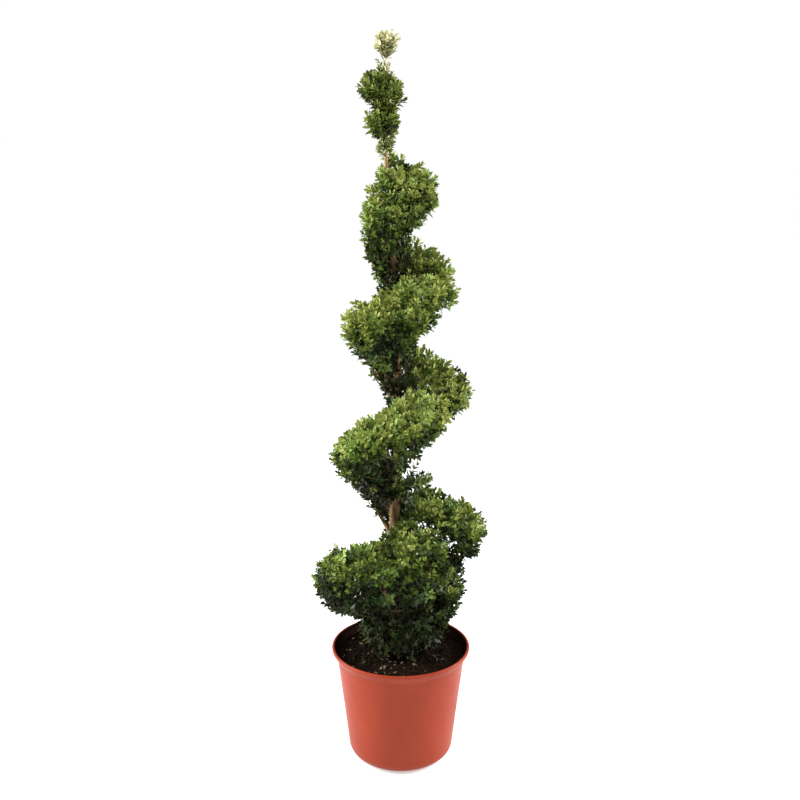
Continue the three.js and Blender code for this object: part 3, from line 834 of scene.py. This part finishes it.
def leaf_arrays(shoots, rng):
    """All the leaves of some shoots, in opposite pairs set crosswise.

    Returns corner points (leaves, 7, 3), tints, whether each leaf is on the young leader, and
    whether it is in a cool patch.
    """
    count = len(shoots.tips)
    order = np.arange(PAIRS)
    spacing = LEAF_SPACING * from_the_tip(*SPACING_GROWTH)
    from_tip = np.cumsum(spacing) - spacing[0]
    from_tip = from_tip[None] * rng.uniform(*SPACING_SPREAD, (count, 1))
    reach = shoots.lengths * (1 - BARE_PART)
    present = from_tip < reach[:, None]
    t = 1 - np.minimum(from_tip / shoots.whole[:, None], 1)
    points, tangents = shoots.at(t)
    reference = unit(np.cross(tangents, rng.normal(size=(count, 1, 3))))
    second = np.cross(tangents, reference)
    quarter = (order % 2) * math.pi / 2
    turn = rng.uniform(0, math.tau, (count, 1)) + quarter
    turn = turn + rng.normal(0, PAIR_NOISE, (count, PAIRS))
    leaves = []
    for side in (0, math.pi):
        angle = (turn + side + rng.normal(0, LEAF_NOISE, turn.shape))[:, :, None]
        radial = reference * np.cos(angle) + second * np.sin(angle)
        opening = from_the_tip(*OPENING_GROWTH) + rng.normal(0, OPENING_NOISE, (count, PAIRS))
        opening = opening[:, :, None]
        along = tangents * np.cos(opening) + radial * np.sin(opening)
        face = tangents * np.sin(opening) - radial * np.cos(opening)
        face = unit(face + LEAF_UP * UP + rng.normal(0, FACE_NOISE, face.shape))
        across = unit(np.cross(along, face))
        face = np.cross(across, along)
        size = from_the_tip(*SIZE_GROWTH) * rng.uniform(*SIZE_SPREAD, (count, PAIRS))
        length = (LEAF_LENGTH * shoots.leaf_size * size)[:, :, None, None]
        width = length * LEAF_WIDTH * rng.uniform(*WIDTH_SPREAD, (count, PAIRS, 1, 1))
        foot = points + along * LEAF_STALK
        corners = (
            foot[:, :, None]
            + along[:, :, None] * LEAF_CORNERS[:, 0:1] * length
            + across[:, :, None] * LEAF_CORNERS[:, 1:2] * width
            + face[:, :, None] * LEAF_CORNERS[:, 2:3] * length
        )
        leaves.append(corners[present])
    tints = np.repeat(shoots.tints[:, None], PAIRS, 1)
    lighter = order[None] < ROSETTE_PAIRS + rng.integers(0, 2, (count, 1))
    lighter = lighter & (rng.random((count, 1)) < ROSETTES)
    young = np.repeat(shoots.young[:, None], PAIRS, 1)
    # The young rosette at the tip is a tint paler; the leaves further down get painted shade.
    tints = tints + lighter - sum(order[None] > pair for pair in DARKER_FROM)
    tints = np.clip(tints, SHADE, np.where(young, PALE, FRESH_AND_LIT))
    cool = np.repeat(shoots.cool[:, None], PAIRS, 1)
    return np.vstack(leaves), *(np.tile(part[present], 2) for part in (tints, young, cool))


def leaf_mesh(corners):
    """Vertices and triangles of leaves, from their corner points (leaves, 7, 3)."""
    steps = np.arange(len(corners))[:, None, None] * len(LEAF_CORNERS)
    return corners.reshape(-1, 3), (LEAF_TRIANGLES[None] + steps).reshape(-1, 3)


def leaf_pieces(corners, tints, young, cool):
    """Joins the leaves into pieces by tint, each under the limit of triangles."""
    old = [name for name in FOLIAGE if name not in YOUNG]
    kinds = [
        ("leaves", ~young & ~cool, "foliage", old, LEAF_MATERIALS),
        ("cool_leaves", ~young & cool, "foliage", old, COOL_MATERIALS),
        ("young_leaves", young, "young_foliage", YOUNG, LEAF_MATERIALS),
    ]
    per_piece = TRIANGLES_PER_PIECE // len(LEAF_TRIANGLES)
    for word, kind, slot, names, materials in kinds:
        for tint, tint_name in enumerate(TINT_NAMES):
            chosen = np.flatnonzero((tints == tint) & kind)
            for part, begin in enumerate(range(0, len(chosen), per_piece)):
                leaves = leaf_mesh(corners[chosen[begin : begin + per_piece]])
                name = f"{word}_{tint_name}_{part + 1}"
                piece(mesh_object(name, *leaves, materials[tint]), names)


# ---- Pot ---------------------------------------------------------------------------------------

POT_SIDES = 144
FOOT_ROUNDING = 0.026
LIP_HEIGHT = 0.022
LIP_WIDTH = 0.0064
POT_WALL = 0.0026
POT_FLOOR = 0.004
POT_FOOT = 0.736  # foot radius, as a part of the rim's
WALL_TOP = 0.922  # wall radius under the lip, as a part of the rim's
COLLAR_DROP = 0.012  # height of the faint moulded step under the lip
COLLAR_STEP = 0.0002


def arc(centre, radius, start, end, steps):
    """Points (radius, height) on an arc, between two angles in degrees."""
    angles = np.radians(np.linspace(start, end, steps))
    return [(centre[0] + radius * math.cos(a), centre[1] + radius * math.sin(a)) for a in angles]


def smooth_step(part):
    """Eases from 0 to 1 with level ends."""
    part = min(max(part, 0), 1)
    return part * part * (3 - 2 * part)


def inner_wall(height, foot, slope, rim, top):
    """Radius of the pot's inner wall, which opens out to the rim."""
    opening = smooth_step((height - (top - LIP_HEIGHT)) / LIP_HEIGHT)
    wall = foot + slope * height - POT_WALL
    return wall + (rim - LIP_WIDTH - wall) * opening


def pot_profile():
    """The pot's section, from the middle of its underside round the lip to the inner floor."""
    low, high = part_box("pot")
    rim, top = (high.x - low.x) / 2, high.z
    foot, wall_top = rim * POT_FOOT, rim * WALL_TOP
    under_lip = top - LIP_HEIGHT
    slope = (wall_top - foot) / under_lip
    bead = LIP_WIDTH / 2
    outer = [(0.0, 0.0015), (foot * 0.66, 0.0015), (foot * 0.70, 0.0)]
    corner = foot + slope * FOOT_ROUNDING
    outer += arc((corner - FOOT_ROUNDING, FOOT_ROUNDING), FOOT_ROUNDING, -88, -5, 18)
    collar = under_lip - COLLAR_DROP
    heights = np.linspace(FOOT_ROUNDING * 1.2, collar - 0.001, 22)
    outer += [(foot + slope * height, height) for height in heights]
    # Over the collar the wall swells out to the rim in a soft curve, with no ledge under it.
    for part in np.linspace(0, 1, 24):
        height = collar + (top - bead - collar) * part
        swell = smooth_step((height - under_lip) / (top - bead - under_lip))
        wall = foot + slope * height + COLLAR_STEP
        outer.append((wall + (rim - wall) * swell, height))
    outer += arc((rim - bead, top - bead), bead, 8, 172, 16)
    heights = np.linspace(top - 2 * bead, FOOT_ROUNDING, 16)
    outer += [(inner_wall(height, foot, slope, rim, top), height) for height in heights]
    outer += [(foot - FOOT_ROUNDING, POT_FLOOR), (0.0, POT_FLOOR)]
    return np.array(outer)


def lathe(profile, sides):
    """A closed solid of revolution, from a profile that starts and ends on the axis."""
    turn = np.arange(sides) * math.tau / sides
    ring = np.stack([np.cos(turn), np.sin(turn)], -1)
    inner = profile[1:-1]
    flat = inner[:, None, :1] * ring[None]
    tall = np.broadcast_to(inner[:, None, 1:], flat.shape[:2] + (1,))
    vertices = np.concatenate([flat, tall], -1).reshape(-1, 3)
    index = np.arange(len(inner) * sides).reshape(len(inner), sides)
    vertices, quads = closed_ends(vertices, ring_quads(index), index[0][::-1], index[-1])
    vertices[-2, 2], vertices[-1, 2] = profile[0, 1], profile[-1, 1]
    return vertices, quads


# ---- Soil --------------------------------------------------------------------------------------

SOIL_RINGS = 110
SOIL_SIDES = 260
SOIL_DEPTH = 0.03
SOIL_FALL = 0.0040  # from the trunk to the wall
SOIL_LUMPS = ((0.0022, 0.045), (0.0016, 0.014))  # height and size
SOIL_GRAIN = (0.0009, 0.005)
CRUMBS = 2600
CHIPS = 36
MOSS_TUFTS = 26
FALLEN_LEAVES = 30
FRONT_LEFT = math.radians(225)  # where most of the chips and the moss lie


def soil_level(points):
    """Height of the soil: it falls from the trunk to the wall, in soft lumps."""
    low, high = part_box("soil")
    reach = (high.x - low.x) / 2
    away = np.clip(np.linalg.norm(points[:, :2], axis=1) / reach, 0, 1)
    flat = points * [1, 1, 0]
    lumps = [rise * waves(flat, SEED + 11 + i, size) for i, (rise, size) in enumerate(SOIL_LUMPS)]
    fine = SOIL_GRAIN[0] * np.abs(waves(flat, SEED + 13, SOIL_GRAIN[1]))
    return high.z - 0.001 - SOIL_FALL * away**2 + sum(lumps) + fine


def soil_mesh():
    """The soil as one closed lump: an uneven top, a side against the pot's wall and a flat base."""
    low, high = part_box("soil")
    reach = (high.x - low.x) / 2 + 0.0004
    turn = np.arange(SOIL_SIDES) * math.tau / SOIL_SIDES
    radius = np.linspace(0.002, reach, SOIL_RINGS)
    ring = level_directions(turn)
    top = (ring[None] * radius[:, None, None]).reshape(-1, 3)
    top[:, 2] = soil_level(top)
    base = ring * (reach * 0.96) + [0, 0, high.z - SOIL_DEPTH]
    under = ring * 0.002 + [0, 0, high.z - SOIL_DEPTH]
    vertices = np.vstack([top, base, under])
    index = np.arange(len(vertices)).reshape(SOIL_RINGS + 2, SOIL_SIDES)[::-1]
    return closed_ends(vertices, ring_quads(index), index[0][::-1], index[-1])


def scattered(count, rng, inner=0.018, crowd=None):
    """Places on the soil, clear of the trunk and the wall. A crowd pulls them to one direction."""
    low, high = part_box("soil")
    reach = (high.x - low.x) / 2 - 0.004
    radius = np.sqrt(rng.uniform(inner**2, reach**2, count))
    turn = rng.uniform(0, math.tau, count)
    if crowd is not None:
        turn = np.where(rng.random(count) < 0.6, rng.normal(crowd, 0.6, count), turn)
    points = np.stack([radius * np.cos(turn), radius * np.sin(turn), np.zeros(count)], -1)
    points[:, 2] = soil_level(points)
    return points


def turned(shapes, rng, flat):
    """Turns shapes (N, K, 3) at random. With flat at 1 they only turn about the vertical."""
    count = len(shapes)
    axis_z = unit(UP + (1 - flat) * rng.normal(0, 1.0, (count, 3)))
    axis_x = unit(np.cross(axis_z, rng.normal(size=(count, 3))))
    axis_y = np.cross(axis_z, axis_x)
    frame_axes = np.stack([axis_x, axis_y, axis_z], 1)
    return np.einsum("nkc,ncd->nkd", shapes, frame_axes)


BLOCK = np.array([[x, y, z] for z in (-1, 1) for y in (-1, 1) for x in (-1, 1)], float)
BLOCK_QUADS = np.array(
    [[0, 2, 3, 1], [4, 5, 7, 6], [0, 1, 5, 4], [2, 6, 7, 3], [0, 4, 6, 2], [1, 3, 7, 5]]
)


def rough_blocks(points, sizes, proportions, rng, flat):
    """Small uneven lumps or slivers at points, as vertices and quads."""
    count = len(points)
    shapes = BLOCK * proportions * (1 + rng.uniform(-0.35, 0.35, (count, 8, 3)))
    shapes = turned(shapes * sizes[:, None, None], rng, flat)
    vertices = (points[:, None] + shapes).reshape(-1, 3)
    quads = (BLOCK_QUADS[None] + np.arange(count)[:, None, None] * 8).reshape(-1, 4)
    return vertices, quads


# ---- Materials ---------------------------------------------------------------------------------

POT_DARK = (0.250, 0.028, 0.008)
POT_COLOUR = (0.272, 0.032, 0.010)
POT_PALE = (0.298, 0.039, 0.013)
POT_INSIDE_SHADE = (0.020, 0.0075, 0.0045)  # painted shade on the inner wall, nearly black
POT_SPECULAR = (0.02, 0.18)  # inside and outside
POT_ROUGHNESS = (0.36, 0.52)
INNER_WALL = (-0.11, -0.05)  # outward part of the normal, times the radius, from inside to outside
YOUNG_BARK = (0.36, 0.25, 0.125)


def material(name, colour, roughness, specular=0.5):
    """A Principled material with plain values on its own sockets."""
    made = bpy.data.materials.new(name)
    made.use_nodes = True
    shader = made.node_tree.nodes["Principled BSDF"]
    shader.inputs["Base Color"].default_value = (*colour, 1)
    shader.inputs["Roughness"].default_value = roughness
    shader.inputs["Specular IOR Level"].default_value = specular
    return made, made.node_tree, shader


def node(tree, kind, **values):
    """A shader node with some of its properties or inputs set."""
    made = tree.nodes.new(kind)
    for key, value in values.items():
        if key in made.inputs:
            made.inputs[key].default_value = value
        else:
            setattr(made, key, value)
    return made


def noise(tree, scale, detail=4.0, stretch=(1, 1, 1)):
    """A noise pattern in the frame's own coordinates, drawn out along an axis by a small stretch."""
    place = node(tree, "ShaderNodeTexCoord")
    mapping = node(tree, "ShaderNodeMapping", Scale=stretch)
    tree.links.new(place.outputs["Object"], mapping.inputs["Vector"])
    pattern = node(tree, "ShaderNodeTexNoise", Scale=scale, Detail=detail)
    tree.links.new(mapping.outputs["Vector"], pattern.inputs["Vector"])
    return pattern.outputs["Fac"]


def ramp(tree, factor, stops):
    """Colours along a factor, from (position, colour) stops."""
    made = node(tree, "ShaderNodeValToRGB")
    elements = made.color_ramp.elements
    while len(elements) < len(stops):
        elements.new(0.5)
    for element, (position, colour) in zip(elements, stops):
        element.position = position
        element.color = (*colour, 1)
    tree.links.new(factor, made.inputs["Fac"])
    return made.outputs["Color"]


def mapped(tree, value, start=(0, 1), end=(0, 1)):
    """A value mapped from one range to another, and held to it."""
    made = node(tree, "ShaderNodeMapRange")
    names = ("From Min", "From Max", "To Min", "To Max")
    for name, limit in zip(names, (*start, *end)):
        made.inputs[name].default_value = limit
    tree.links.new(value, made.inputs["Value"])
    return made.outputs["Result"]


def bump(tree, shader, height, strength, distance):
    """Fine relief from a pattern."""
    made = node(tree, "ShaderNodeBump", Strength=strength, Distance=distance)
    tree.links.new(height, made.inputs["Height"])
    tree.links.new(made.outputs["Normal"], shader.inputs["Normal"])


def facing_out(tree):
    """Runs from 0 on the pot's inner wall, which takes painted shade, to 1 on the rest of the pot."""
    geometry = node(tree, "ShaderNodeNewGeometry")
    level = node(tree, "ShaderNodeVectorMath", operation="MULTIPLY")
    level.inputs[1].default_value = (1, 1, 0)
    tree.links.new(geometry.outputs["Position"], level.inputs[0])
    facing = node(tree, "ShaderNodeVectorMath", operation="DOT_PRODUCT")
    tree.links.new(level.outputs["Vector"], facing.inputs[0])
    tree.links.new(geometry.outputs["Normal"], facing.inputs[1])
    return mapped(tree, facing.outputs["Value"], INNER_WALL)


def pot_material():
    """Satin terracotta-coloured plastic: slight mottling, a fine moulded grain, and painted shade on
    the inner wall.
    """
    made, tree, shader = material("pot_plastic", POT_COLOUR, POT_ROUGHNESS[0], POT_SPECULAR[1])
    mottling = noise(tree, 14, 5, (1, 1, 0.5))
    mottled = ramp(tree, mottling, [(0.3, POT_DARK), (0.55, POT_COLOUR), (0.75, POT_PALE)])
    outside = facing_out(tree)
    # The inner wall gets a painted shade colour, near black, and less shine.
    mixed = node(tree, "ShaderNodeMix", data_type="RGBA")
    mixed.inputs["A"].default_value = (*POT_INSIDE_SHADE, 1)
    tree.links.new(outside, mixed.inputs["Factor"])
    tree.links.new(mottled, mixed.inputs["B"])
    tree.links.new(mixed.outputs["Result"], shader.inputs["Base Color"])
    shine = mapped(tree, outside, end=POT_SPECULAR)
    tree.links.new(shine, shader.inputs["Specular IOR Level"])
    dulled = mapped(tree, noise(tree, 30, 6), end=POT_ROUGHNESS)
    tree.links.new(dulled, shader.inputs["Roughness"])
    bump(tree, shader, noise(tree, 900, 2), 0.12, 0.0004)
    return made


def soil_material():
    """Dark damp soil with paler crumbs."""
    made, tree, shader = material("potting_soil", (0.011, 0.006, 0.003), 0.95, 0.1)
    mixed = ramp(
        tree,
        noise(tree, 190, 8),
        [
            (0.35, (0.004, 0.0019, 0.0008)),
            (0.55, (0.011, 0.005, 0.002)),
            (0.78, (0.030, 0.0135, 0.0055)),
        ],
    )
    tree.links.new(mixed, shader.inputs["Base Color"])
    bump(tree, shader, noise(tree, 420, 8), 0.8, 0.0015)
    return made


def bark_material():
    """Fissured bark, tan on the ridges and grey-brown in the furrows."""
    made, tree, shader = material("box_bark", (0.30, 0.21, 0.12), 0.82, 0.3)
    mixed = ramp(
        tree,
        noise(tree, 130, 8, (1, 1, 0.22)),
        [
            (0.30, (0.050, 0.028, 0.012)),
            (0.46, (0.160, 0.094, 0.040)),
            (0.60, (0.310, 0.188, 0.078)),
            (0.78, (0.450, 0.320, 0.155)),
        ],
    )
    place = node(tree, "ShaderNodeTexCoord")
    height = node(tree, "ShaderNodeSeparateXYZ")
    tree.links.new(place.outputs["Object"], height.inputs["Vector"])
    young = mapped(tree, height.outputs["Z"], (NECK[0] - 0.12, NECK[1]))
    blended = node(tree, "ShaderNodeMix", data_type="RGBA")
    blended.inputs["B"].default_value = (*YOUNG_BARK, 1)
    tree.links.new(young, blended.inputs["Factor"])
    tree.links.new(mixed, blended.inputs["A"])
    tree.links.new(blended.outputs["Result"], shader.inputs["Base Color"])
    bump(tree, shader, noise(tree, 300, 8, (1, 1, 0.3)), 0.6, 0.0012)
    return made


def leaf_materials(word, shift):
    """One plain material for each tint, with its colour shifted."""
    made = []
    for name, colour in TINTS.items():
        shifted = tuple(part * times for part, times in zip(colour, shift))
        made.append(material(f"{word}_{name}", shifted, LEAF_ROUGHNESS, LEAF_SPECULAR)[0])
    return made


LEAF_MATERIALS = leaf_materials("leaf", (1, 1, 1))
COOL_MATERIALS = leaf_materials("cool_leaf", COOL_SHIFT)
BARK = bark_material()
TWIG = material("twig_bark", (0.15, 0.115, 0.068), 0.8, 0.2)[0]
GREEN_TWIG = material("green_stem", (0.13, 0.150, 0.045), 0.6, 0.3)[0]
POT = pot_material()
SOIL = soil_material()
CRUMB = material("soil_crumb", (0.012, 0.0055, 0.0022), 0.95, 0.1)[0]
CHIP = material("bark_chip", (0.20, 0.125, 0.075), 0.8, 0.3)[0]
MOSS = material("moss", (0.030, 0.042, 0.009), 0.9, 0.2)[0]
FALLEN = material("fallen_leaf", (0.125, 0.095, 0.038), 0.7, 0.3)[0]


# ---- Growing the plant -------------------------------------------------------------------------


def add_stem():
    piece(mesh_object("trunk_bark", *trunk_mesh(), BARK), ["trunk"])
    boughs = [name for name in NODES if "bough" in name]
    piece(mesh_object("boughs", *bough_mesh(), BARK), boughs)


def add_foliage():
    """Grows each mass in turn, then joins limbs, twigs and leaves, each kind apart."""
    rng = np.random.default_rng(SEED)
    stems, stem_radii = basal_stems(rng)
    wood, wood_radii, grown = [stems], [stem_radii], []
    for name in FOLIAGE:
        mass = MASSES[name]
        paths, radii = wood_in_mass(mass, rng)
        wood.append(paths)
        wood_radii.append(radii)
        if name.startswith("skirt"):
            paths, radii = np.vstack([paths, stems]), np.vstack([radii, stem_radii])
        grown.append(grow_shoots(mass, paths, radii, rng))
    grown += sprays_on_the_stem(rng)
    branches = tubes(np.vstack(wood), np.vstack(wood_radii), 6)
    piece(mesh_object("branches", *branches, TWIG))
    add_twigs(grown)
    leaves = [leaf_arrays(shoots, rng) for shoots in grown]
    leaf_pieces(*(np.concatenate(column) for column in zip(*leaves)))


def add_twigs(grown):
    """The shoots' own stems, as thin tapering tubes in pieces under the limit of triangles."""
    t = np.linspace(0.0, 0.985, SHOOT_POINTS)
    paths = [shoots.at(np.tile(t, (len(shoots.tips), 1)))[0] for shoots in grown]
    paths = np.vstack(paths)
    taper = np.linspace(TWIG_RADIUS, TWIG_RADIUS * 0.5, SHOOT_POINTS)
    radii = np.broadcast_to(taper, paths.shape[:2])
    per_piece = TRIANGLES_PER_PIECE // ((SHOOT_POINTS - 1) * TWIG_SIDES * 2)
    for part, begin in enumerate(range(0, len(paths), per_piece)):
        chosen = slice(begin, begin + per_piece)
        twigs = tubes(paths[chosen], radii[chosen], TWIG_SIDES)
        piece(mesh_object(f"twigs_{part + 1}", *twigs, GREEN_TWIG))


def add_pot_and_soil():
    rng = np.random.default_rng(SEED + 5)
    piece(mesh_object("plastic_pot", *lathe(pot_profile(), POT_SIDES), POT), ["pot"])
    piece(mesh_object("potting_soil", *soil_mesh(), SOIL), ["soil"])
    # Name, material, count, crowd, height over the soil, sizes, proportions, and how flat they lie.
    litter = (
        ("soil_crumbs", CRUMB, CRUMBS, None, 0.0004, (0.0007, 0.0024), (1, 0.8, 0.6), 0),
        ("bark_chips", CHIP, CHIPS, FRONT_LEFT, 0.0012, (0.0014, 0.0040), (1, 0.5, 0.22), 0.6),
        ("moss_bits", MOSS, MOSS_TUFTS, FRONT_LEFT, 0.0008, (0.0010, 0.0026), (1, 1, 0.5), 0.5),
    )
    for name, made, count, crowd, lift, sizes, proportions, flat in litter:
        points = scattered(count, rng, crowd=crowd) + [0, 0, lift]
        blocks = rough_blocks(points, rng.uniform(*sizes, count), proportions, rng, flat)
        piece(mesh_object(name, *blocks, made, smooth=False))
    add_fallen_leaves(rng)


def add_fallen_leaves(rng):
    """A few dry leaves on the soil."""
    points = scattered(FALLEN_LEAVES, rng) + [0, 0, 0.0016]
    shapes = LEAF_CORNERS * [1, LEAF_WIDTH, 1] - [0.5, 0, 0]
    sizes = rng.uniform(0.6, 0.95, (FALLEN_LEAVES, 1, 1)) * LEAF_LENGTH
    corners = points[:, None] + turned(shapes * sizes, rng, 0.75)
    piece(mesh_object("fallen_leaves", *leaf_mesh(corners), FALLEN))


# ---- Stage -------------------------------------------------------------------------------------


CAMERA_PLACE = (-0.0015, -2.2, 1.34)
CAMERA_FALL = 14.96  # degrees by which it looks down
CAMERA_LENS = 53.19  # millimetres, on a sensor 36 mm wide

# Name, place, aim and power of each softbox.
SOFTBOXES = (
    ("left_softbox", (-2.0, 0.1, 1.2), (0, 0, 0.6), 94),
    ("right_softbox", (2.0, 0.3, 1.1), (0, 0, 0.55), 82),
)
SOFTBOX_SIZE = 1.2
AMBIENT = 0.42  # strength of the world's light on the plant
OVERHEAD = 1.7
OVERHEAD_SPREAD = 80  # degrees
OVERHEAD_TILT = 18  # degrees towards the front
FLOOR_HALF = 30
FLOOR_ALBEDO = 0.60
FLOOR_GLOW = 0.44
BACKDROP = FLOOR_GLOW + FLOOR_ALBEDO * (AMBIENT + OVERHEAD / math.pi)  # as pale as the floor


def place_object(name, data, place=(0, 0, 0)):
    """A camera or light in the scene."""
    made = bpy.data.objects.new(name, data)
    bpy.context.scene.collection.objects.link(made)
    made.location = place
    return made


def add_camera():
    """The camera looks down on the pot and almost level at the top, from 2.2 m in front."""
    data = bpy.data.cameras.new("camera")
    data.sensor_width = 36
    data.lens = CAMERA_LENS
    camera = place_object("camera", data, CAMERA_PLACE)
    camera.rotation_euler = (math.radians(90 - CAMERA_FALL), 0, 0)
    bpy.context.scene.camera = camera


def add_lights():
    """A softbox at each side, and a weaker, wide light from above in front."""
    for name, place, aim, power in SOFTBOXES:
        data = bpy.data.lights.new(name, "AREA")
        data.size = SOFTBOX_SIZE
        data.energy = power
        light = place_object(name, data, place)
        light.rotation_euler = (Vector(aim) - Vector(place)).to_track_quat("-Z", "Y").to_euler()
    sky = bpy.data.lights.new("overhead", "SUN")
    sky.energy = OVERHEAD
    sky.angle = math.radians(OVERHEAD_SPREAD)
    overhead = place_object("overhead", sky)
    overhead.rotation_euler = (math.radians(OVERHEAD_TILT), 0, 0)


def add_floor():
    """A plain pale floor that glows a little, so that it fades into the backdrop."""
    floor, _, shader = material("floor", (FLOOR_ALBEDO,) * 3, 0.9, 0.0)
    shader.inputs["Emission Color"].default_value = (1, 1, 1, 1)
    shader.inputs["Emission Strength"].default_value = FLOOR_GLOW
    corners = np.array([[-1, -1, 0], [1, -1, 0], [1, 1, 0], [-1, 1, 0]], float) * FLOOR_HALF
    mesh_object("floor", corners, np.array([[0, 1, 2, 3]]), floor)


def add_world():
    """What is seen behind the plant is as pale as the floor. What lights the plant is dimmer."""
    world = bpy.data.worlds.new("studio")
    world.use_nodes = True
    tree = world.node_tree
    path = node(tree, "ShaderNodeLightPath")
    strength = mapped(tree, path.outputs["Is Camera Ray"], end=(AMBIENT, BACKDROP))
    tree.links.new(strength, tree.nodes["Background"].inputs["Strength"])
    tree.nodes["Background"].inputs["Color"].default_value = (1, 1, 1, 1)
    bpy.context.scene.world = world
    bpy.context.scene.view_settings.view_transform = "Standard"


add_camera()
add_floor()
add_world()
add_lights()
add_pot_and_soil()
add_stem()
add_foliage()
